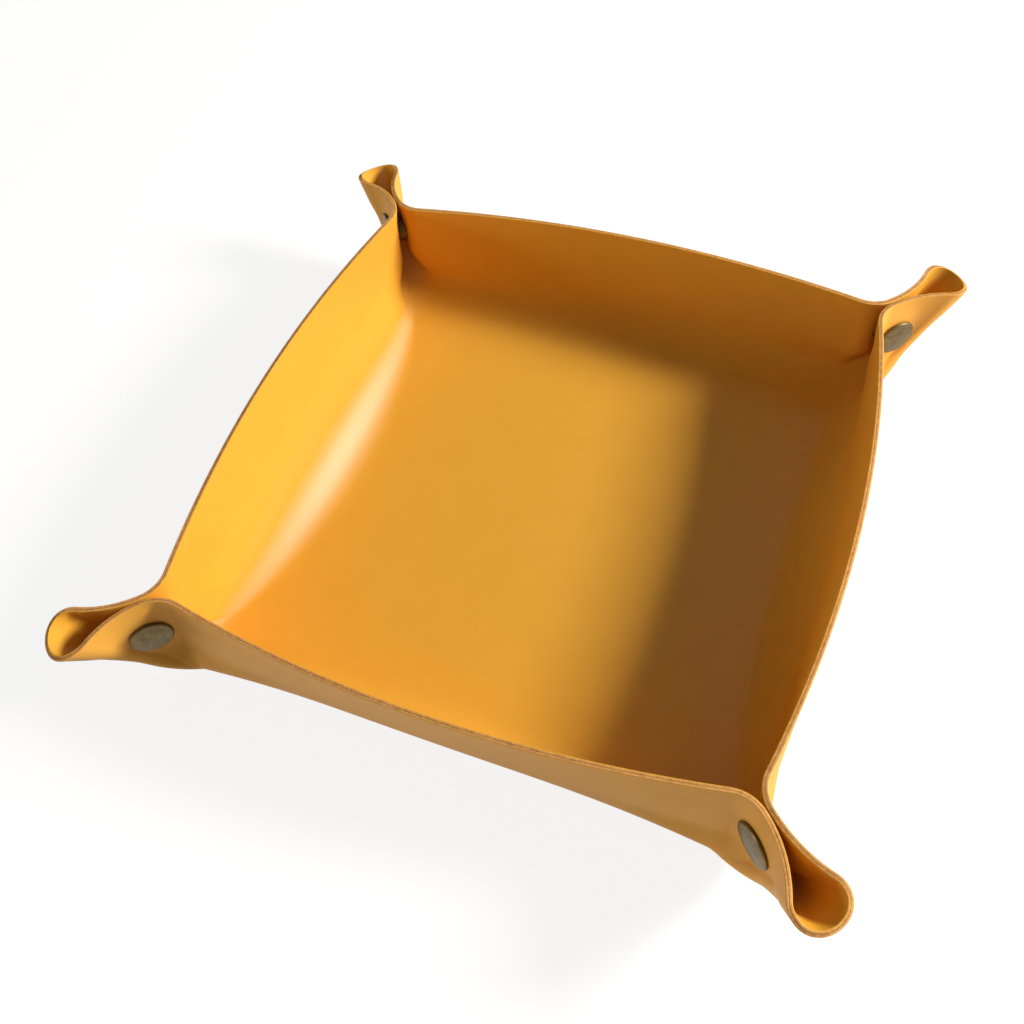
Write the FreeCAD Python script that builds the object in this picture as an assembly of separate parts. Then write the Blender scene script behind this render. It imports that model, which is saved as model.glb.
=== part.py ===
import FreeCAD, Part
import math
import os

os.makedirs("parts", exist_ok=True)

Vector = FreeCAD.Vector

# Sheet: two bonded plies, formed into a square tray with pinched corners
sheet_thickness = 2.2
rim_height = 45.0

# End of a wall, next to a corner, where it stands upright
end_rim_reach = 101.3

# Middle of a wall: flat floor, soft bend, then a wall that leans and bows out to the rim
wall_bow = 9.7
wall_bend = 21.0
wall_lean = math.radians(9.0)

# Turn from wall to ear near the floor, and where the ears close up under the snap
floor_swing = math.radians(6.0)
close_swing = math.radians(70.0)
lead_share = 0.6
ear_swing = math.radians(30.0)

# Fold line of a corner ear, on the diagonal: it climbs outward from the floor to the tip of the ear
ear_length = 41.0691
fold_bend = 15.5
fold_lean = math.radians(90.0 - 47.6)

# Snap centre: distance past the neck of the ear and height over the underside
snap_setback = 7.0691
snap_height = 28.5

# Half gap between the sheet middles of the two ears
snap_half_gap = 2.9
rim_half_gap = 1.9

# Radius of the turn from wall to ear, at the floor, under the snap, at the snap and at the rim
floor_turn = 12.0
low_turn = 6.0
snap_turn = 5.0
rim_turn = 15.0

# Straight stretch of the ear near the floor and under the snap
floor_flat = 1.5
low_flat = 11.3

# Radius of the teardrop loop at the end of the ear, and on the rim its share of the ear's length
floor_loop = 9.0
low_loop = 4.0
snap_loop = 5.0
rim_loop_share = 0.1996635

# Where the ears close up under the snap, and how far over it they stay parallel
close_drop = 10.0
hold_rise = 7.0

# Rounded corner of the sheet, seen on the ear as a falling rim
ear_round = 17.0
ear_round_setback = 16.0

# Opening flaps: cut across the fold line, this far up it, with a hairline between the pieces
flap_foot_height = 11.0
hairline = 0.12
cutter_reach = 90.0

# Snap cap: a shallow domed head with a post that is flared behind its plate
cap_radius = 7.5
cap_edge = 0.9
cap_dome = 1.7
cap_lip = 0.35
post_radius = 1.8
hole_radius = 2.0
flare_radius = 2.2
flare_height = 0.35

# Snap socket: a cup with a lip that keeps the ring spring in
socket_radius = 6.2
socket_bore = 4.3
socket_mouth = 3.75
socket_lip = 0.35
plate_thickness = 0.5

# Ring spring: an open ring of wire
spring_wire = 0.35
spring_radius = 3.65
spring_gap = math.radians(50.0)

# Snap stud: a plate with a hollow knob
stud_flange = 5.8
stud_neck = 2.9
stud_head = 3.3
stud_tip = 2.6
stud_bore = 2.35
stud_roof = 0.4
head_low_share = 0.35
head_high_share = 0.6
seat_gap = 0.1
seat_play = 0.15
seat_reach = 2.5

# Section levels: shares of the angle round the wall bend, under the ear stations
bend_level_shares = (0.0, 0.14, 0.32, 0.54, 0.77)
inner_overrun = 3.0
solve_steps = 40
handle_share = 4.0 / 3.0

half_thickness = sheet_thickness / 2
rim_level = rim_height - half_thickness
snap_level = snap_height - half_thickness
close_level = snap_level - close_drop
hold_level = snap_level + hold_rise
root_two = math.sqrt(2.0)
full_turn = 2 * math.pi
quarter = math.pi / 2
eighth = math.pi / 4
corner_names = {(-1, -1): "front_left", (1, -1): "front_right", (1, 1): "back_right", (-1, 1): "back_left"}
sides = (
    (Vector(0, -1, 0), Vector(1, 0, 0)),
    (Vector(1, 0, 0), Vector(0, 1, 0)),
    (Vector(0, 1, 0), Vector(-1, 0, 0)),
    (Vector(-1, 0, 0), Vector(0, -1, 0)),
)


# Outward reach of a bent profile at a height over its own floor
def reach(height, foot, bend, lean):
    bend_top = bend * (1 - math.sin(lean))
    if height <= 0:
        return foot
    if height <= bend_top:
        return foot + math.sqrt(bend * bend - (bend - height) ** 2)
    return foot + bend * math.cos(lean) + (height - bend_top) * math.tan(lean)


# Foot of a bent profile that ends at a known reach on the rim
def foot_of(rim_reach, bend, lean):
    return rim_reach - reach(rim_level, 0, bend, lean)


# Value at a height between the values at the floor, under the snap, at the snap and at the rim
def graded(height, at_floor, at_low, at_snap, at_rim):
    stations = ((0, at_floor), (close_level, at_low), (snap_level, at_snap), (rim_level, at_rim))
    for (low, low_value), (high, high_value) in zip(stations, stations[1:]):
        if height <= high or high == rim_level:
            return low_value + (high_value - low_value) * (height - low) / (high - low)


# Neck of the ear at the snap, and what is measured from it along the diagonal
neck_reach = root_two * (end_rim_reach + snap_turn) - snap_turn - snap_half_gap
tip_rim_reach = neck_reach + ear_length
rim_loop = ear_length * rim_loop_share
snap_reach = neck_reach + snap_setback
ear_round_start = tip_rim_reach - ear_round_setback
wall_foot = foot_of(end_rim_reach + wall_bow, wall_bend, wall_lean)
fold_foot = foot_of(tip_rim_reach, fold_bend, fold_lean)


# Half of one side at a level: wall, turn, flat, back turn and loop, as key points of its curves
def half_side(offset, level):
    own = level + offset
    mid_out = reach(own, wall_foot, wall_bend + offset, wall_lean)
    tip = reach(own, fold_foot, fold_bend + offset, fold_lean)
    turn = graded(level, floor_turn, low_turn, snap_turn, rim_turn) - offset
    flat = floor_flat + (low_flat - floor_flat) * level / close_level
    loop = graded(level, floor_loop, low_loop, snap_loop, rim_loop) + offset
    lifting = max(0, level - hold_level) / (rim_level - hold_level)
    gap = snap_half_gap + (rim_half_gap - snap_half_gap) * lifting + offset
    closing = min(1.0, own / (close_level + offset))
    end_out = end_rim_reach + offset
    centre = (tip - loop) / root_two
    slope = 0.0
    for _ in range(solve_steps):
        if closing < 1.0:
            back_turn = turn
            heading = slope + floor_swing + (close_swing - floor_swing) * closing
            lead = slope + (heading - slope) * lead_share
        else:
            lead = eighth
            heading = eighth + ear_swing
            back_turn = (loop * math.cos(ear_swing) - gap) / (1 - math.cos(ear_swing))
            start = root_two * (end_out + turn) - turn - gap
            flat = tip - loop - (loop + back_turn) * math.sin(ear_swing) - start
        run = turn * (math.sin(lead) - math.sin(slope)) + flat * math.cos(lead)
        run += back_turn * (math.sin(heading) - math.sin(lead)) + loop * math.sin(heading)
        climb = turn * (math.cos(slope) - math.cos(lead)) + flat * math.sin(lead)
        climb += back_turn * (math.cos(lead) - math.cos(heading)) - loop * math.cos(heading)
        end_x = centre - run
        end_y = centre - climb
        slope = math.atan(2 * (end_y - mid_out) / end_x)
    turn_x = end_x - turn * math.sin(slope)
    turn_y = end_y + turn * math.cos(slope)
    back_x = turn_x + flat * math.cos(lead) - (back_turn - turn) * math.sin(lead)
    back_y = turn_y + flat * math.sin(lead) + (back_turn - turn) * math.cos(lead)

    # Poles of one round stretch: its ends and the handles between them
    def stretch(x, y, radius, start, end):
        handle = radius * handle_share * math.tan((end - start) / 4)
        first = (x + radius * math.sin(start), y - radius * math.cos(start))
        last = (x + radius * math.sin(end), y - radius * math.cos(end))
        return [
            first,
            (first[0] + handle * math.cos(start), first[1] + handle * math.sin(start)),
            (last[0] - handle * math.cos(end), last[1] - handle * math.sin(end)),
            last,
        ]

    turn_poles = stretch(turn_x, turn_y, turn, slope, lead)
    back_poles = stretch(back_x, back_y, back_turn, lead, heading)
    loop_poles = stretch(centre, centre, -loop, heading, -eighth)
    return {
        "crown": (0, 2 * mid_out - end_y),
        "turn": turn_poles,
        "flat": [turn_poles[-1], back_poles[0]],
        "back": back_poles,
        "loop": loop_poles,
    }


# Smooth curve from its poles
def curve(poles):
    bezier = Part.BezierCurve()
    bezier.setPoles(poles)
    return bezier.toShape()


# Closed outline of the formed sheet at a level
def outline(offset, level):
    half = half_side(offset, level)
    height = level + half_thickness
    edges = []
    for number, (outward, along) in enumerate(sides):
        next_outward, next_along = sides[(number + 1) % len(sides)]

        def ahead(point):
            return along * point[0] + outward * point[1] + Vector(0, 0, height)

        def behind(point):
            return next_outward * point[1] - next_along * point[0] + Vector(0, 0, height)

        def before(point):
            return outward * point[1] - along * point[0] + Vector(0, 0, height)

        edges.append(curve([before(half["turn"][0]), ahead(half["crown"]), ahead(half["turn"][0])]))
        run = [[ahead(p) for p in half[key]] for key in ("turn", "flat", "back", "loop")]
        rest = [[behind(p) for p in reversed(half[key])] for key in ("loop", "back", "flat", "turn")]
        edges += [curve(poles) for poles in run + rest]
    return Part.Wire(edges)


# Levels of one face of the sheet: round the bend, then at the stations of the ear
def levels(offset):
    full_bend = quarter - wall_lean
    heights = [wall_bend - (wall_bend + offset) * math.cos(full_bend * s) for s in bend_level_shares]
    return heights + [close_level, snap_level, hold_level, rim_level]


def formed_block(offset, overrun):
    wires = [outline(offset, level) for level in levels(offset)]
    if overrun:
        lifted = wires[-1].copy()
        lifted.translate(Vector(0, 0, overrun))
        wires.append(lifted)
    return Part.makeLoft(wires, True, True)


# Solid between two faces of the sheet
sheet = formed_block(half_thickness, 0).cut(formed_block(-half_thickness, inner_overrun))


# Block in the frame of one corner: x along the diagonal, y across it
def corner_box(x_low, x_high, y_low, y_high, z_low, z_high):
    return Part.makeBox(x_high - x_low, y_high - y_low, z_high - z_low, Vector(x_low, y_low, z_low))


# Rounded sheet corner: everything over a round-topped ear goes
round_axis = Vector(ear_round_start, -cutter_reach, rim_height - ear_round)
round_post = Part.makeCylinder(ear_round, 2 * cutter_reach, round_axis, Vector(0, 1, 0))
round_block = corner_box(
    ear_round_start,
    ear_round_start + cutter_reach,
    -cutter_reach,
    cutter_reach,
    rim_height - ear_round,
    rim_height + ear_round,
)
ear_cutter = round_block.cut(round_post)


# Round bar across the corner, on the snap axis, between two distances from the middle
def snap_bar(radius, low, high):
    return Part.makeCylinder(radius, high - low, Vector(snap_reach, low, snap_height), Vector(0, 1, 0))


# Hole for the posts, and the seats pressed into the leather under the caps and plates
outer_face = snap_half_gap + half_thickness
inner_face = snap_half_gap - half_thickness
seat_cutters = [
    snap_bar(hole_radius, -outer_face, outer_face),
    snap_bar(socket_radius + seat_play, -inner_face, inner_face),
    snap_bar(cap_radius + seat_play, outer_face, outer_face + seat_reach),
    snap_bar(cap_radius + seat_play, -outer_face - seat_reach, -outer_face),
]

# Fold line on the outside of the ear, and the blocks that take the flaps out across it
fold_reach = reach(flap_foot_height, fold_foot, fold_bend + half_thickness, fold_lean)
fold_start = Vector(fold_reach, 0, flap_foot_height)
fold_along = Vector(math.sin(fold_lean), 0, math.cos(fold_lean))
fold_turn = FreeCAD.Rotation(Vector(0, 1, 0), math.degrees(fold_lean) - math.degrees(quarter))
fold_place = FreeCAD.Placement(fold_start, fold_turn)


def fold_box(x_low, y_low, y_high):
    block = corner_box(x_low, cutter_reach, y_low, y_high, -ear_round, cutter_reach)
    block.Placement = fold_place
    return block


flap_blocks = {
    1: fold_box(0, hairline / 2, cutter_reach),
    -1: fold_box(0, -cutter_reach, -hairline / 2),
}
root_cutter = fold_box(-hairline, -cutter_reach, cutter_reach)


# Solid turned round the snap axis from an outline of (radius, distance) points, with an arc for a dome
def turned(points, dome_top=None, sweep=full_turn):
    corners = [Vector(r, 0, d) for r, d in points]
    edges = [Part.LineSegment(p, q).toShape() for p, q in zip(corners, corners[1:])]
    if dome_top is None:
        edges.append(Part.LineSegment(corners[-1], corners[0]).toShape())
    else:
        top = Vector(0, 0, dome_top)
        edge_r, edge_d = points[-1]
        edges.append(curve([corners[-1], Vector(edge_r / 2, 0, dome_top), top]))
        edges.append(Part.LineSegment(top, corners[0]).toShape())
    face = Part.Face(Part.Wire(edges))
    return face.revolve(Vector(0, 0, 0), Vector(0, 0, 1), math.degrees(sweep))


# Distances from the middle of the snap: leather faces, plates and the flared post ends
cap_seat = snap_half_gap + half_thickness + seat_gap
plate_seat = snap_half_gap - half_thickness - seat_gap
plate_face = plate_seat - plate_thickness
flare_face = plate_face - seat_gap / 2
flare_end = flare_face - flare_height
bore_radius = post_radius + seat_gap
socket_end = -plate_face + seat_gap
lip_top = socket_end + socket_lip
spring_level = lip_top + seat_gap + spring_wire
head_start = spring_level + spring_wire
stud_top = flare_end - 2 * seat_gap
head_low = head_start + (stud_top - head_start) * head_low_share
head_high = head_start + (stud_top - head_start) * head_high_share

cap = turned(
    [
        (0, flare_end),
        (flare_radius, flare_end),
        (flare_radius, flare_face),
        (post_radius, flare_face),
        (post_radius, cap_seat),
        (cap_radius, cap_seat),
        (cap_radius, cap_seat + cap_edge - cap_lip),
        (cap_radius - cap_lip, cap_seat + cap_edge),
    ],
    cap_seat + cap_dome,
)
socket = turned(
    [
        (bore_radius, plate_seat),
        (socket_radius, plate_seat),
        (socket_radius, socket_end),
        (socket_mouth, socket_end),
        (socket_mouth, lip_top),
        (socket_bore, lip_top),
        (socket_bore, plate_face),
        (bore_radius, plate_face),
    ]
)
stud = turned(
    [
        (bore_radius, -plate_seat),
        (stud_flange, -plate_seat),
        (stud_flange, -plate_face),
        (stud_neck, -plate_face),
        (stud_neck, head_start),
        (stud_head, head_low),
        (stud_head, head_high),
        (stud_tip, stud_top),
        (0, stud_top),
        (0, stud_top - stud_roof),
        (stud_bore, stud_top - stud_roof),
        (stud_bore, -plate_face),
        (bore_radius, -plate_face),
    ]
)
spring_outline = [
    (spring_radius - spring_wire, spring_level - spring_wire),
    (spring_radius + spring_wire, spring_level - spring_wire),
    (spring_radius + spring_wire, spring_level + spring_wire),
    (spring_radius - spring_wire, spring_level + spring_wire),
]
spring = turned(spring_outline, None, full_turn - spring_gap)

# Snap axis across the corner, towards its socket ear
snap_facing = FreeCAD.Rotation(Vector(1, 0, 0), -math.degrees(quarter))
snap_place = FreeCAD.Placement(Vector(snap_reach, 0, snap_height), snap_facing)
stud_side = FreeCAD.Placement(Vector(0, 0, 0), FreeCAD.Rotation(Vector(1, 0, 0), math.degrees(math.pi)))


def placed(shape, *places):
    moved = shape.copy()
    for place in places:
        moved.Placement = place.multiply(moved.Placement)
    return moved


def save(name, shape):
    solid = shape.Solids[0] if len(shape.Solids) == 1 else shape
    print(name, "solids", len(shape.Solids), "valid", shape.isValid(), "volume", round(shape.Volume, 2))
    solid.exportStep("parts/" + name + ".step")


# Each corner: the sheet is trimmed, its flaps are taken out and its snap is set
corner_places = {}
for sign_x, sign_y in corner_names:
    angle = math.degrees(math.atan2(sign_y, sign_x))
    corner_places[(sign_x, sign_y)] = FreeCAD.Placement(
        Vector(0, 0, 0), FreeCAD.Rotation(Vector(0, 0, 1), angle)
    )
trims = [placed(c, place) for place in corner_places.values() for c in [ear_cutter] + seat_cutters]
sheet = sheet.cut(trims)
save("tray_sheet", sheet.cut([placed(root_cutter, place) for place in corner_places.values()]))
for (sign_x, sign_y), place in corner_places.items():
    name = corner_names[(sign_x, sign_y)]
    socket_sign = sign_x * sign_y
    save(name + "_socket_ear", sheet.common(placed(flap_blocks[socket_sign], place)))
    save(name + "_stud_ear", sheet.common(placed(flap_blocks[-socket_sign], place)))
    facing = [snap_place, place] if socket_sign > 0 else [stud_side, snap_place, place]
    opposite = [stud_side, snap_place, place] if socket_sign > 0 else [snap_place, place]
    save(name + "_socket_cap", placed(cap, *facing))
    save(name + "_socket", placed(socket, *facing))
    save(name + "_spring", placed(spring, *facing))
    save(name + "_stud", placed(stud, *facing))
    save(name + "_stud_cap", placed(cap, *opposite))
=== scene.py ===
"""Looks of the valet tray: a smooth leather sheet and its snaps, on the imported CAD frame."""

import math
from collections import namedtuple

import bpy
import numpy as np
from mathutils import Matrix, Vector


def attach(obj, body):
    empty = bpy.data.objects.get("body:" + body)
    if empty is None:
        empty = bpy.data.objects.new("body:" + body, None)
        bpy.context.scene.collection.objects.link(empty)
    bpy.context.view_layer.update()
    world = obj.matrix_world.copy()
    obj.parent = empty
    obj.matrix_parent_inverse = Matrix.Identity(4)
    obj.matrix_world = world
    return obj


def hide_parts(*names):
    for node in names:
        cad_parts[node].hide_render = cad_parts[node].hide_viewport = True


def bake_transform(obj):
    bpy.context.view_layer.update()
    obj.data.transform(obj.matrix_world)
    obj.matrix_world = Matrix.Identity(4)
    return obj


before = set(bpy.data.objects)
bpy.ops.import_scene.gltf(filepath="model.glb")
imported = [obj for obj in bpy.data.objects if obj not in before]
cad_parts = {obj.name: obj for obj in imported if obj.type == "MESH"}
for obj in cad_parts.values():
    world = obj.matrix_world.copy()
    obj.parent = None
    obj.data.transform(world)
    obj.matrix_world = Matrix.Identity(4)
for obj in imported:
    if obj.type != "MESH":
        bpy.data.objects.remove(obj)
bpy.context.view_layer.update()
scene = bpy.context.scene
MM = 0.001
REST_PLACE, GLOSS = "rest_place", "gloss"

# Sheet in millimetres, a little thinner than its solid, as its cut edge looks in the photo
thickness = 1.9
half_thickness = thickness / 2
rim_height = 45.0
rim_level = rim_height - half_thickness
wall_rim_reach, end_rim_reach = 110.5, 101.2
snap_height, close_drop, hold_rise = 28.5, 10.0, 7.0
snap_level = snap_height - half_thickness
close_level, hold_level = snap_level - close_drop, snap_level + hold_rise
root_two = math.sqrt(2.0)
eighth, quarter = math.pi / 4, math.pi / 2
sides = (((0, -1), (1, 0)), ((1, 0), (0, 1)), ((0, 1), (-1, 0)), ((-1, 0), (0, -1)))
corner_signs = ((1, -1), (1, 1), (-1, 1), (-1, -1))

# Ear of each corner on the rim: the reach of its tip, its loop, its swing out to the loop, its turn out of
# the wall, and how far it leans aside over a length of ear
Ear = namedtuple("Ear", "corner tip_reach loop swing turn aside")
ears = (
    Ear("front_right", 182.5, 8.5, math.radians(31.0), 12.0, -1.0),
    Ear("back_right", 180.5, 8.0, math.radians(31.5), 12.0, 1.0),
    Ear("back_left", 177.0, 8.2, math.radians(38.0), 13.5, 0.0),
    Ear("front_left", 181.5, 8.7, math.radians(34.0), 13.5, 2.0),
)
aside_length = 30.0
ear_round, tip_drop = 24.0, 2.2
fold_lean = math.radians(38.5)

# Lower down all ears are alike: where they close, and at the snap
close_turn, snap_turn = 7.0, 6.0
close_loop, snap_loop = 4.4, 5.0
low_swing = math.radians(36.0)
hold_share, hold_turn_share = 0.5, 0.33
rim_clearance = 0.1
snap_half_gap, hold_half_gap, rim_half_gap = 2.9, 2.7, half_thickness + rim_clearance
close_bulge, snap_bulge, hold_bulge = 1.3, 1.2, 0.7
ear_levels = (close_level, snap_level, hold_level, rim_level)

# Section at the floor, where the corner only begins to turn out
floor_turn, floor_flat, floor_loop = 7.0, 0.5, 10.5
floor_swing, lead_share, close_start_share = math.radians(4.0), 0.6, 0.2

# Soft bends up from the floor: radius at the floor and where the wall or the fold runs straight
plain_wall_radii, plain_wall_lean = (21.5, 17.5), math.radians(9.0)
left_wall_radii, left_wall_lean = (46.0, 15.0), math.radians(12.0)
fold_bend_radii = (62.0, 20.0)

# Grid of the sheet: columns per stretch of half a side, rows up the bend and the wall
stretch_counts = (("wall", 44), ("turn", 14), ("flat", 12), ("back", 16), ("loop", 26))
bend_rows, wall_rows = 30, 26
floor_shares = (0.06, 0.2, 0.36, 0.52, 0.68, 0.82, 0.92, 0.97)
solve_steps, bend_steps, level_steps = 60, 400, 600
dense_levels = np.linspace(0.0, rim_level, level_steps)


# Bend from flat to a lean, with a radius that tightens on the way: reach and height at even angles
def soft_bend(radii, lean):
    angle = np.linspace(0, quarter - lean, bend_steps)
    radius = radii[0] + (radii[1] - radii[0]) * angle / angle[-1]
    step = np.diff(angle)
    out, high = radius * np.cos(angle), radius * np.sin(angle)
    outs = np.concatenate([[0], np.cumsum((out[1:] + out[:-1]) / 2 * step)])
    highs = np.concatenate([[0], np.cumsum((high[1:] + high[:-1]) / 2 * step)])
    return outs, highs


plain_wall = soft_bend(plain_wall_radii, plain_wall_lean), plain_wall_lean
left_wall = soft_bend(left_wall_radii, left_wall_lean), left_wall_lean
walls = (plain_wall, plain_wall, plain_wall, left_wall)
fold_bend = soft_bend(fold_bend_radii, fold_lean)


# Outward reach of a bent profile at heights over its own floor, when it reaches so far on the rim
def reach(height, rim_reach, bend, lean):
    outs, highs = bend
    foot = rim_reach - outs[-1] - (rim_level - highs[-1]) * math.tan(lean)
    over = np.maximum(np.asarray(height) - highs[-1], 0)
    return foot + np.interp(height, highs, outs) + over * math.tan(lean)


# Cubic from one value to another with given rises at its ends, for shares of the way
def eased(start, end, rise_start, rise_end, t):
    return (
        start * (1 + 2 * t) * (1 - t) ** 2
        + end * t * t * (3 - 2 * t)
        + rise_start * t * (1 - t) ** 2
        + rise_end * t * t * (t - 1)
    )


# Smooth curve up the ear through its key values, which doesn't overshoot them
def up_the_ear(*values):
    keys, values = np.array(ear_levels), np.array(values)
    step = np.diff(keys)
    grade = np.diff(values) / step
    slopes = np.zeros(len(keys))
    for k in range(1, len(keys) - 1):
        if grade[k - 1] * grade[k] > 0:
            slopes[k] = 2 * grade[k - 1] * grade[k] / (grade[k - 1] + grade[k])
    slopes[-1] = grade[-1]
    levels = np.maximum(dense_levels, close_level)
    spot = np.clip(np.searchsorted(keys, levels) - 1, 0, len(keys) - 2)
    t = (levels - keys[spot]) / step[spot]
    rises = slopes[spot] * step[spot], slopes[spot + 1] * step[spot]
    return eased(values[spot], values[spot + 1], *rises, t)


# Values from the floor up to where the ear closes, running smoothly into those of the ear
def grown(at_floor, ear_values):
    closed = np.searchsorted(dense_levels, close_level)
    first = ear_values[closed]
    rise = (ear_values[closed + 1] - first) / dense_levels[1] * close_level
    t = np.minimum(dense_levels / close_level, 1)
    low = eased(at_floor, first, (first - at_floor) * close_start_share, rise, t)
    return np.where(dense_levels < close_level, low, ear_values)


# Where the wall ends and the turn into the ear begins, worked back from the tip
def wall_end(slope, turn, flat, back, loop, lead, heading, tip):
    centre = (tip - loop) / root_two
    run = turn * (np.sin(lead) - np.sin(slope)) + flat * np.cos(lead)
    run = run + back * (np.sin(heading) - np.sin(lead)) + loop * np.sin(heading)
    climb = turn * (np.cos(slope) - np.cos(lead)) + flat * np.sin(lead)
    climb = climb + back * (np.cos(lead) - np.cos(heading)) - loop * np.cos(heading)
    return centre - run, centre - climb


# Section of half a side against its level: wall, turn, flat, back turn and loop up to one ear's tip
def section_tables(ear, wall):
    mid = reach(dense_levels, wall_rim_reach, *wall)
    tip = reach(dense_levels, ear.tip_reach, fold_bend, fold_lean)
    hold_turn = snap_turn + (ear.turn - snap_turn) * hold_turn_share
    hold_loop = snap_loop + (ear.loop - snap_loop) * hold_share
    hold_swing = low_swing + (ear.swing - low_swing) * hold_share
    turn = up_the_ear(close_turn, snap_turn, hold_turn, ear.turn)
    loop = up_the_ear(close_loop, snap_loop, hold_loop, ear.loop)
    swing = up_the_ear(low_swing, low_swing, hold_swing, ear.swing)
    gap = up_the_ear(snap_half_gap, snap_half_gap, hold_half_gap, rim_half_gap)
    back = (loop * np.cos(swing) - gap) / (1 - np.cos(swing))
    end = end_rim_reach + up_the_ear(close_bulge, snap_bulge, hold_bulge, 0.0)
    neck = root_two * (end + turn) - turn - gap
    flat = tip - loop - (loop + back) * np.sin(swing) - neck

    # The slope of the wall at the floor sets the angles there, and they close to those of the ear
    slope = 0.0
    for _ in range(solve_steps):
        angles = slope + floor_swing * lead_share, slope + floor_swing
        end_x, end_y = wall_end(slope, floor_turn, floor_flat, floor_turn, floor_loop, *angles, tip[0])
        slope = math.atan(2 * (end_y - mid[0]) / end_x)
    turn, flat, back = grown(floor_turn, turn), grown(floor_flat, flat), grown(floor_turn, back)
    loop, lead = grown(floor_loop, loop), grown(angles[0], np.full(level_steps, eighth))
    heading = grown(angles[1], eighth + swing)
    slope = np.zeros(level_steps)
    for _ in range(solve_steps):
        end_x, end_y = wall_end(slope, turn, flat, back, loop, lead, heading, tip)
        slope = np.arctan(2 * (end_y - mid) / end_x)
    tables = mid, tip, slope, turn, flat, back, loop, lead, heading, end_x, end_y
    return tables, neck[-1]


# Points of half a side, along and outward, for a stretch, shares along it and levels
def half_point(tables, stretch, share, level):
    values = [np.interp(level, dense_levels, table) for table in tables]
    mid, tip, slope, turn, flat, back, loop, lead, heading, end_x, end_y = values
    if stretch == "wall":
        return end_x * share, end_y + (1 - share * share) * (mid - end_y)
    turn_x, turn_y = end_x - turn * np.sin(slope), end_y + turn * np.cos(slope)
    if stretch == "turn":
        angle = slope + (lead - slope) * share
        return turn_x + turn * np.sin(angle), turn_y - turn * np.cos(angle)
    if stretch == "flat":
        start_x, start_y = turn_x + turn * np.sin(lead), turn_y - turn * np.cos(lead)
        return start_x + flat * share * np.cos(lead), start_y + flat * share * np.sin(lead)
    if stretch == "back":
        back_x = turn_x + flat * np.cos(lead) - (back - turn) * np.sin(lead)
        back_y = turn_y + flat * np.sin(lead) + (back - turn) * np.cos(lead)
        angle = lead + (heading - lead) * share
        return back_x + back * np.sin(angle), back_y - back * np.cos(angle)
    centre = (tip - loop) / root_two
    angle = heading + (-eighth - heading) * share
    return centre - loop * np.sin(angle), centre + loop * np.cos(angle)


# Levels of the rows where the rim is at its full height, and how far each follows a lower rim
bend_places = np.linspace(0, bend_steps - 1, bend_rows + 1)
bend_levels = np.interp(bend_places, np.arange(bend_steps), plain_wall[0][1])
base_levels = np.concatenate([bend_levels[:-1], np.linspace(bend_levels[-1], rim_level, wall_rows + 1)])
rise_shares = np.maximum(base_levels - close_level, 0) / (rim_level - close_level)
low_levels = np.minimum(base_levels, close_level)


# Grid of half a side up to one ear's tip: along, outward and height, with the rim rounded off over the tip
def half_side(ear, wall):
    tables, neck_reach = section_tables(ear, wall)
    round_over = math.sqrt(ear_round ** 2 - (ear_round - tip_drop) ** 2)
    round_start = ear.tip_reach - tip_drop * math.tan(fold_lean) - round_over
    grids = []
    for stretch, count in stretch_counts:
        shares = np.arange(count + (1 if stretch == "loop" else 0)) / count
        low, high = np.full(len(shares), close_level), np.full(len(shares), rim_level)
        for _ in range(solve_steps):
            middle = (low + high) / 2
            x, y = half_point(tables, stretch, shares, middle)
            over = np.clip((x + y) / root_two - round_start, 0, ear_round)
            cut = rim_height - ear_round + np.sqrt(ear_round ** 2 - over ** 2)
            above = middle + half_thickness > cut
            low, high = np.where(above, low, middle), np.where(above, middle, high)
        levels = low_levels[:, None] + rise_shares[:, None] * (high - close_level)
        x, y = half_point(tables, stretch, shares, levels)
        grids.append(np.stack([x, y, levels + half_thickness], axis=2))
    return np.concatenate(grids, axis=1), neck_reach


# Middle surface of the whole sheet: rows by columns round the tray, corner by corner
stretches, column_corner, column_ahead = [], [], []
for corner, ear in enumerate(ears):
    after = (corner + 1) % len(sides)
    grid, neck_reach = half_side(ear, walls[corner])
    next_grid, _ = half_side(ear, walls[after])
    outward, along = np.array(sides[corner], float)
    next_outward, next_along = np.array(sides[after], float)
    ahead = grid[:, :, :1] * along + grid[:, :, 1:2] * outward
    behind = next_grid[:, :, 1:2] * next_outward - next_grid[:, :, :1] * next_along
    plan = np.concatenate([ahead, behind[:, -2:0:-1]], axis=1)
    height = np.concatenate([grid[:, :, 2], next_grid[:, -2:0:-1, 2]], axis=1)
    diagonal = np.array(corner_signs[corner]) / root_two
    past_neck = np.maximum(plan @ diagonal - neck_reach, 0) / aside_length
    shift = ear.aside * past_neck ** 2 * height / rim_height
    plan += shift[:, :, None] * np.array((-diagonal[1], diagonal[0]))
    stretches.append(np.concatenate([plan, height[:, :, None]], axis=2))
    column_corner += [corner] * plan.shape[1]
    column_ahead += [True] * ahead.shape[1] + [False] * (plan.shape[1] - ahead.shape[1])
wall_surface = np.concatenate(stretches, axis=1)
column_total = wall_surface.shape[1]
floor_rows = [wall_surface[0] * (share, share, 1.0) for share in floor_shares]
surface = np.concatenate([np.stack(floor_rows), wall_surface])
row_total = surface.shape[0]

# Normals of the middle surface, on its inner side
round_step = np.roll(surface, -1, axis=1) - np.roll(surface, 1, axis=1)
rise_step = np.gradient(surface, axis=0)
normals = np.cross(rise_step, round_step)
normals /= np.linalg.norm(normals, axis=2, keepdims=True)
if normals[-1, 0, 1] < 0:
    normals = -normals
normals[: len(floor_shares) + 1] = (0.0, 0.0, 1.0)

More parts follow.
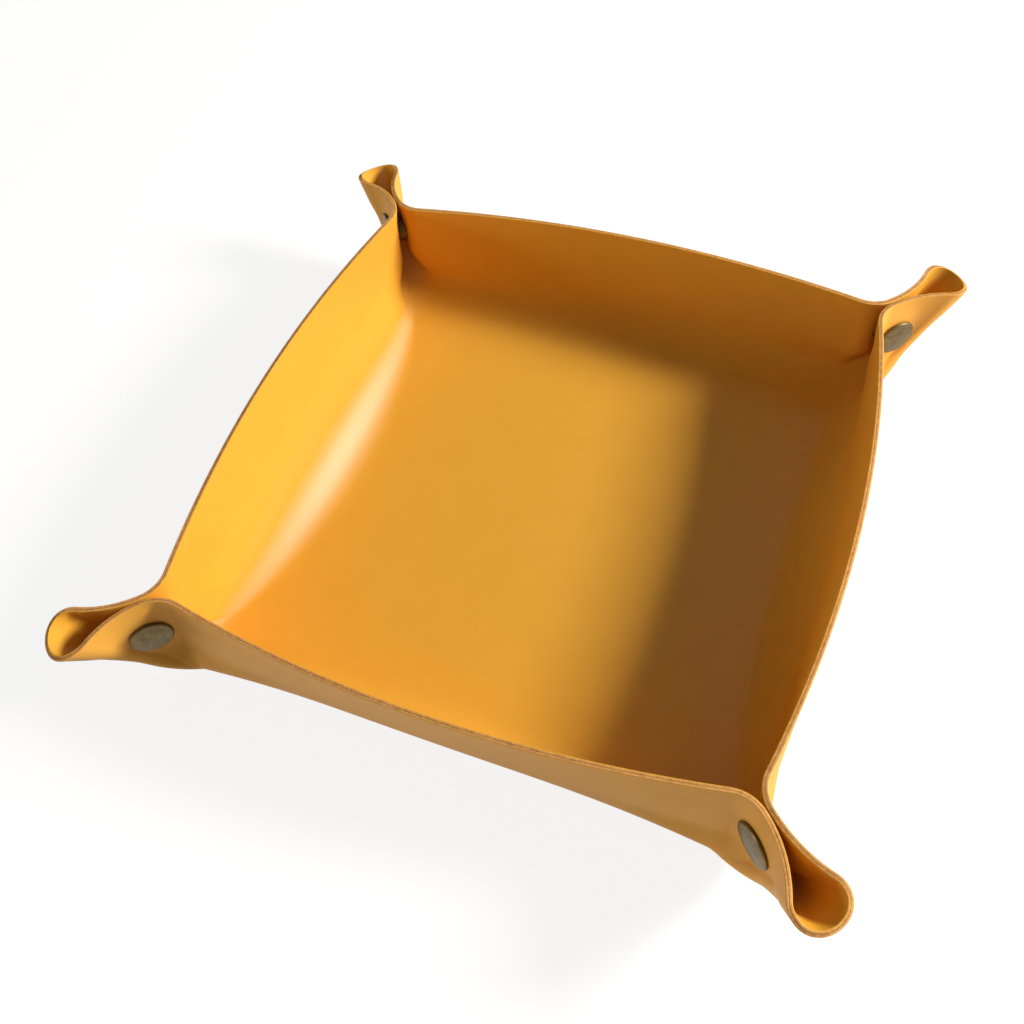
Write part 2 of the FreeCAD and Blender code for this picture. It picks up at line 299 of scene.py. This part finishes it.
# Way out of the sheet at the rim, in the sheet and square to the rim
rise_top = np.cross(round_step[-1], normals[-1])
rise_top /= np.linalg.norm(rise_top, axis=1, keepdims=True) * np.sign(rise_top[:, 2:])

# Cut edge of the sheet, from its inner to its outer face: distance from the middle and drop under the rim
edge_round, glue_half, glue_lip, glue_drop = 0.3, 0.06, 0.13, 0.07
round_shares = ((0.08, 0.5), (0.3, 0.15), (1.0, 0.0))
edge_half = [(half_thickness - edge_round * inward, edge_round * down) for inward, down in round_shares]
edge_half += [(glue_lip, 0.0), (glue_half, glue_drop)]
edge_profile = edge_half + [(-out, drop) for out, drop in reversed(edge_half)]
edge_sharpness = 7
inner_face = surface + normals * half_thickness
outer_face = surface - normals * half_thickness
inner_face[-1] -= rise_top * edge_round
outer_face[-1] -= rise_top * edge_round
edge_rows = [surface[-1] + normals[-1] * out - rise_top * drop for out, drop in edge_profile]
rings = np.concatenate([inner_face, np.stack(edge_rows), outer_face[::-1]])
edge_normals = []
for out, _ in edge_profile:
    lean = (out / half_thickness) ** edge_sharpness
    blend = normals[-1] * lean + rise_top * (1 - abs(lean))
    edge_normals.append(blend / np.linalg.norm(blend, axis=1, keepdims=True))
ring_normals = np.concatenate([normals, np.stack(edge_normals), -normals[::-1]])
ring_total = rings.shape[0]

# Gloss of the inner leather: burnished where it bends up on the left, dull on the floor and the walls
bend_tilts = np.radians((2.0, 14.0, 26.0, 36.0))
bend_gloss = (0.02, 0.6, 0.6, 0.02)
tilts = np.arcsin(np.clip(ring_normals[:, :, 0], 0, 1))
ring_gloss = np.interp(tilts, bend_tilts, bend_gloss)

# Material of each strip of cells, up the inner face, over the cut edge with its glue line and down again
INNER, OUTER, EDGE, GLUE = range(4)
face_strips, round_strips, glue_strips = row_total - 1, len(round_shares), 3
ring_material = [INNER] * (face_strips + round_strips) + [EDGE] + [GLUE] * glue_strips
ring_material += [EDGE] + [OUTER] * (round_strips + face_strips)

# Foot of the flaps on the fold, and where an ear bends when they move: at its root, past the wall, and in
# from its fold
fold_reach, flap_foot_height = 153.943, 11.0
root_rise, root_start, root_end = math.radians(24.0), -12.0, 3.0
fold_start, fold_end = 1.0, 7.5
root_along = np.array([math.cos(root_rise), math.sin(root_rise)])
fold_in = np.array([-math.cos(fold_lean), math.sin(fold_lean)])


# Share of the way from a start to an end, eased at both
def smooth_share(value, start, end):
    t = np.clip((value - start) / (end - start), 0, 1)
    return t * t * (3 - 2 * t)


# Share of a flap's motion that each point would take at the root and at the fold
signs = np.array([corner_signs[c] for c in column_corner], float)
tips = np.array([ears[c].tip_reach for c in column_corner])
diagonal = (surface[:, :, 0] * signs[:, 0] + surface[:, :, 1] * signs[:, 1]) / root_two
root_way = (diagonal - fold_reach) * root_along[0] + (surface[:, :, 2] - flap_foot_height) * root_along[1]
fold_way = (diagonal - tips) * fold_in[0] + (surface[:, :, 2] - rim_height) * fold_in[1]
root_share = smooth_share(root_way, root_start, root_end)
fold_share = smooth_share(fold_way, fold_start, fold_end)

# Numbers of the pieces: the tray, and two parts of each of an ear's two halves
TRAY = -1
HALVES = AHEAD, BEHIND = 0, 1
PARTS = ROOT, FOLD = 0, 1


def ear_number(corner, half, part):
    return (corner * len(HALVES) + half) * len(PARTS) + part


# Piece of each cell of the sheet: the tray, or the root or the fold of an ear, whichever moves less
cell_piece = np.full((row_total - 1, column_total), TRAY)
for column, corner in enumerate(column_corner):
    after = (column + 1) % column_total
    half = AHEAD if column_ahead[column] and column_ahead[after] else BEHIND
    pair = [column, after]
    at_root = root_share[:-1, pair].sum(axis=1) + root_share[1:, pair].sum(axis=1)
    at_fold = fold_share[:-1, pair].sum(axis=1) + fold_share[1:, pair].sum(axis=1)
    root, fold = ear_number(corner, half, ROOT), ear_number(corner, half, FOLD)
    moving = np.where(at_fold < at_root, fold, root)
    cell_piece[:, column] = np.where(at_root > 0, moving, TRAY)


# Keep where the points of a mesh are at rest, for its shading
def keep_rest_place(mesh):
    places = np.zeros(len(mesh.vertices) * 3)
    mesh.vertices.foreach_get("co", places)
    mesh.attributes.new(REST_PLACE, "FLOAT_VECTOR", "POINT").data.foreach_set("vector", places)


# Points through the sheet at a place of its grid, from the inner face to the outer
def through(row, column):
    rings_here = (row, ring_total - 1 - row)
    if row == row_total - 1:
        rings_here = range(row, ring_total - row)
    return [ring * column_total + column for ring in rings_here]


# Faces that close a piece where it is cut from the rest of the sheet
def seam_faces(piece):
    made = []
    mine = cell_piece == piece
    for row, column in zip(*np.nonzero(mine)):
        after = (column + 1) % column_total
        cuts = []
        if not mine[row, column - 1]:
            cuts.append(((row, column), (row + 1, column)))
        if not mine[row, after]:
            cuts.append(((row + 1, after), (row, after)))
        if row > 0 and not mine[row - 1, column]:
            cuts.append(((row, after), (row, column)))
        if row + 2 < row_total and not mine[row + 1, column]:
            cuts.append(((row + 1, column), (row + 1, after)))
        made += [through(*end) + through(*start)[::-1] for start, end in cuts]
    return made


# Faces of a piece and their materials: both sides of the sheet, its cut edge, the floor's middle and seams
def piece_faces(piece):
    edge_cells = np.repeat(cell_piece[-1:], len(edge_profile) + 1, axis=0)
    strips = np.concatenate([cell_piece, edge_cells, cell_piece[::-1]])
    faces, kinds = [], []
    for ring, column in zip(*np.nonzero(strips == piece)):
        after = (column + 1) % column_total
        below, above = ring * column_total, (ring + 1) * column_total
        faces.append((below + column, above + column, above + after, below + after))
        kinds.append(ring_material[ring])
    if piece == TRAY:
        last = (ring_total - 1) * column_total
        faces.append(range(column_total))
        faces.append(range(last + column_total - 1, last - 1, -1))
        kinds += [INNER, OUTER]
    seams = seam_faces(piece)
    return faces + seams, kinds + [EDGE] * len(seams)


# Mesh of one piece of the sheet, with the normals of the whole
def sheet_piece(name, piece, materials):
    faces, kinds = piece_faces(piece)
    used = np.unique(np.concatenate([np.array(face) for face in faces]))
    renumber = np.full(ring_total * column_total, -1)
    renumber[used] = np.arange(len(used))
    mesh = bpy.data.meshes.new(name)
    points = rings.reshape(-1, 3)[used] * MM
    mesh.from_pydata(points.tolist(), [], [renumber[list(face)].tolist() for face in faces])
    mesh.polygons.foreach_set("material_index", kinds)
    mesh.polygons.foreach_set("use_smooth", [True] * len(kinds))
    for material in materials:
        mesh.materials.append(material)
    mesh.update()
    keep_rest_place(mesh)
    mesh.attributes.new(GLOSS, "FLOAT", "POINT").data.foreach_set("value", ring_gloss.reshape(-1)[used])
    mesh.normals_split_custom_set_from_vertices(ring_normals.reshape(-1, 3)[used].tolist())
    made = bpy.data.objects.new(name, mesh)
    scene.collection.objects.link(made)
    return made


# Material of one colour
def plain_material(name, colour, roughness, metallic=0.0, specular=0.5):
    material = bpy.data.materials.new(name)
    material.use_nodes = True
    shader = material.node_tree.nodes["Principled BSDF"]
    shader.inputs["Base Color"].default_value = (*colour, 1.0)
    shader.inputs["Roughness"].default_value = roughness
    shader.inputs["Metallic"].default_value = metallic
    shader.inputs["Specular IOR Level"].default_value = specular
    return material


# Noise over the places that the points have at rest, in features per metre
def noise(tree, scale, detail):
    place = tree.nodes.new("ShaderNodeAttribute")
    place.attribute_name = REST_PLACE
    made = tree.nodes.new("ShaderNodeTexNoise")
    made.inputs["Scale"].default_value = scale
    made.inputs["Detail"].default_value = detail
    tree.links.new(place.outputs["Vector"], made.inputs["Vector"])
    return made.outputs["Fac"]


# Colour that a noise mixes from two shades
def mottled(tree, fac, dark, light, low, high):
    ramp = tree.nodes.new("ShaderNodeValToRGB")
    ramp.color_ramp.elements[0].position = low
    ramp.color_ramp.elements[1].position = high
    ramp.color_ramp.elements[0].color = (*dark, 1.0)
    ramp.color_ramp.elements[1].color = (*light, 1.0)
    tree.links.new(fac, ramp.inputs["Fac"])
    tree.links.new(ramp.outputs["Color"], tree.nodes["Principled BSDF"].inputs["Base Color"])


# Fine relief of a depth in millimetres
def relief(tree, fac, depth):
    bump = tree.nodes.new("ShaderNodeBump")
    bump.inputs["Strength"].default_value = 1.0
    bump.inputs["Distance"].default_value = depth * MM
    tree.links.new(fac, bump.inputs["Height"])
    tree.links.new(bump.outputs["Normal"], tree.nodes["Principled BSDF"].inputs["Normal"])


# Material with two shades and a fine relief: features per metre, depth in millimetres
def worn_material(name, shades, spread, mottle, grain, depth, **finish):
    material = plain_material(name, shades[1], **finish)
    tree = material.node_tree
    mottled(tree, noise(tree, mottle, mottle_detail), *shades, *spread)
    relief(tree, noise(tree, grain, grain_detail), depth)
    return material


mottle_detail, grain_detail = 4.0, 2.0
inner_leather = worn_material(
    "inner_leather",
    shades=((0.765, 0.375, 0.042), (0.785, 0.39, 0.046)),
    spread=(0.3, 0.7), mottle=60.0, grain=1500.0, depth=0.03, roughness=0.42,
)
outer_leather = worn_material(
    "outer_leather",
    shades=((0.735, 0.345, 0.043), (0.765, 0.365, 0.048)),
    spread=(0.3, 0.7), mottle=60.0, grain=1500.0, depth=0.03, roughness=0.55, specular=0.36,
)
edge_leather = worn_material(
    "edge_leather",
    shades=((0.56, 0.25, 0.065), (0.74, 0.38, 0.12)),
    spread=(0.36, 0.62), mottle=900.0, grain=2500.0, depth=0.05, roughness=0.75, specular=0.1,
)
glue_line = worn_material(
    "glue_line",
    shades=((0.28, 0.105, 0.03), (0.52, 0.24, 0.07)),
    spread=(0.4, 0.66), mottle=500.0, grain=2500.0, depth=0.05, roughness=0.8, specular=0.1,
)
brass = worn_material(
    "antique_brass",
    shades=((0.15, 0.1, 0.036), (0.22, 0.155, 0.062)),
    spread=(0.35, 0.7), mottle=420.0, grain=2400.0, depth=0.004, roughness=0.4, metallic=0.75,
)
steel = plain_material("spring_steel", (0.35, 0.34, 0.32), roughness=0.35, metallic=1.0)
leathers = [inner_leather, outer_leather, edge_leather, glue_line]

# The inner leather's gloss is the one kept at its points
gloss = inner_leather.node_tree.nodes.new("ShaderNodeAttribute")
gloss.attribute_name = GLOSS
inner_shader = inner_leather.node_tree.nodes["Principled BSDF"]
inner_leather.node_tree.links.new(gloss.outputs["Fac"], inner_shader.inputs["Specular IOR Level"])

# The tray's own leather, then each corner's ears, each half cut into a root and a fold piece, and its
# snaps
tray = sheet_piece("leather_tray", TRAY, leathers)
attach(tray, "tray")
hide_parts("tray_sheet")
upward = Vector((0, 0, 1))
for corner, ear in enumerate(ears):
    outward = Vector((*corner_signs[corner], 0)) / root_two
    for half in HALVES:
        on_front_or_back = (corner + half) % 2 == 0
        kind = ear.corner + ("_socket" if on_front_or_back else "_stud")
        root = sheet_piece(kind + "_ear_leather", ear_number(corner, half, ROOT), leathers)
        fold = sheet_piece(kind + "_fold_leather", ear_number(corner, half, FOLD), leathers)
        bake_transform(root)
        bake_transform(fold)
        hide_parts(kind + "_ear")
    for piece in ("_socket_cap", "_stud_cap", "_socket", "_stud", "_spring"):
        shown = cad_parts[ear.corner + piece]
        keep_rest_place(shown.data)
        shown.data.materials.clear()
        shown.data.materials.append(steel if piece == "_spring" else brass)

# Camera, fitted to the photograph
camera_place = Vector((89.87, -224.06, 354.92)) * MM
camera_azimuth, camera_elevation, camera_roll = (math.radians(a) for a in (27.42, 53.33, -7.38))
focal_pixels, middle_pixels, picture_pixels = 1104.62, (479.46, 470.75), 1024
sensor_width, near_clip = 36.0, 10.0
back = Vector((
    math.sin(camera_azimuth) * math.cos(camera_elevation),
    -math.cos(camera_azimuth) * math.cos(camera_elevation),
    math.sin(camera_elevation),
))
right = (-back).cross(upward).normalized()
up = right.cross(-back)
turned_right = right * math.cos(camera_roll) + up * math.sin(camera_roll)
turned_up = up * math.cos(camera_roll) - right * math.sin(camera_roll)
lens = bpy.data.cameras.new("camera")
lens.sensor_width = sensor_width
lens.lens = sensor_width * focal_pixels / picture_pixels
lens.shift_x = 0.5 - middle_pixels[0] / picture_pixels
lens.shift_y = middle_pixels[1] / picture_pixels - 0.5
lens.clip_start = near_clip * MM
camera = bpy.data.objects.new("camera", lens)
camera.matrix_world = Matrix((
    (turned_right.x, turned_up.x, back.x, camera_place.x),
    (turned_right.y, turned_up.y, back.y, camera_place.y),
    (turned_right.z, turned_up.z, back.z, camera_place.z),
    (0, 0, 0, 1),
))
scene.collection.objects.link(camera)
scene.camera = camera

# Floor: white to the eye, with the shadow kept, and plain white to the light
floor_half, floor_drop = 3000.0, 0.2
floor_white, floor_roughness = 0.85, 0.9
seen_white, seen_glow = 0.22, 0.85
floor_mesh = bpy.data.meshes.new("floor")
floor_corners = [(-1, -1), (1, -1), (1, 1), (-1, 1)]
floor_points = [(x * floor_half * MM, y * floor_half * MM, 0) for x, y in floor_corners]
floor_mesh.from_pydata(floor_points, [], [range(len(floor_points))])
floor = bpy.data.objects.new("floor", floor_mesh)
floor.location.z = -floor_drop * MM
scene.collection.objects.link(floor)
floor_material = plain_material("floor_white", (floor_white,) * 3, floor_roughness)
floor_mesh.materials.append(floor_material)
tree = floor_material.node_tree
path = tree.nodes.new("ShaderNodeLightPath")
seen = path.outputs["Is Camera Ray"]
for other in ("Is Glossy Ray", "Is Transmission Ray"):
    either = tree.nodes.new("ShaderNodeMath")
    either.operation = "MAXIMUM"
    tree.links.new(seen, either.inputs[0])
    tree.links.new(path.outputs[other], either.inputs[1])
    seen = either.outputs["Value"]
shade = tree.nodes.new("ShaderNodeBsdfDiffuse")
shade.inputs["Color"].default_value = (seen_white, seen_white, seen_white, 1.0)
glow = tree.nodes.new("ShaderNodeEmission")
glow.inputs["Strength"].default_value = seen_glow
both = tree.nodes.new("ShaderNodeAddShader")
tree.links.new(shade.outputs["BSDF"], both.inputs[0])
tree.links.new(glow.outputs["Emission"], both.inputs[1])
choice = tree.nodes.new("ShaderNodeMixShader")
tree.links.new(seen, choice.inputs["Fac"])
tree.links.new(tree.nodes["Principled BSDF"].outputs["BSDF"], choice.inputs[1])
tree.links.new(both.outputs["Shader"], choice.inputs[2])
tree.links.new(choice.outputs["Shader"], tree.nodes["Material Output"].inputs["Surface"])

# Light: a low key from the right and back, a weak fill from the left and front, a sheen from over the back
# that only glosses catch, and a dim room; each lamp's level is the light that a facing sheet gets from it
Lamp = namedtuple("Lamp", "name direction distance size level colour gloss_only")
lamps = (
    Lamp("key", (0.81, 0.33, 0.48), 1500.0, 340.0, 1.55, (1.0, 0.98, 0.92), False),
    Lamp("fill", (-0.78, -0.58, 0.13), 1800.0, 500.0, 0.26, (1.0, 0.97, 0.94), False),
    Lamp("sheen", (0.13, 0.48, 0.86), 1600.0, 400.0, 0.9, (1.0, 0.98, 0.95), True),
)
room_colour, room_level = (1.0, 0.97, 0.94), 0.175
for lamp in lamps:
    light = bpy.data.lights.new(lamp.name, "AREA")
    light.size = lamp.size * MM
    light.energy = lamp.level * (math.pi * lamp.distance * MM) ** 2
    light.color = lamp.colour
    held = bpy.data.objects.new(lamp.name, light)
    held.location = Vector(lamp.direction).normalized() * lamp.distance * MM
    held.rotation_euler = held.location.to_track_quat("Z", "Y").to_euler()
    held.visible_diffuse = not lamp.gloss_only
    scene.collection.objects.link(held)
world = bpy.data.worlds.new("world")
scene.world = world
world.use_nodes = True
world.node_tree.nodes["Background"].inputs["Color"].default_value = (*room_colour, 1.0)
world.node_tree.nodes["Background"].inputs["Strength"].default_value = room_level

scene.view_settings.view_transform = "Standard"
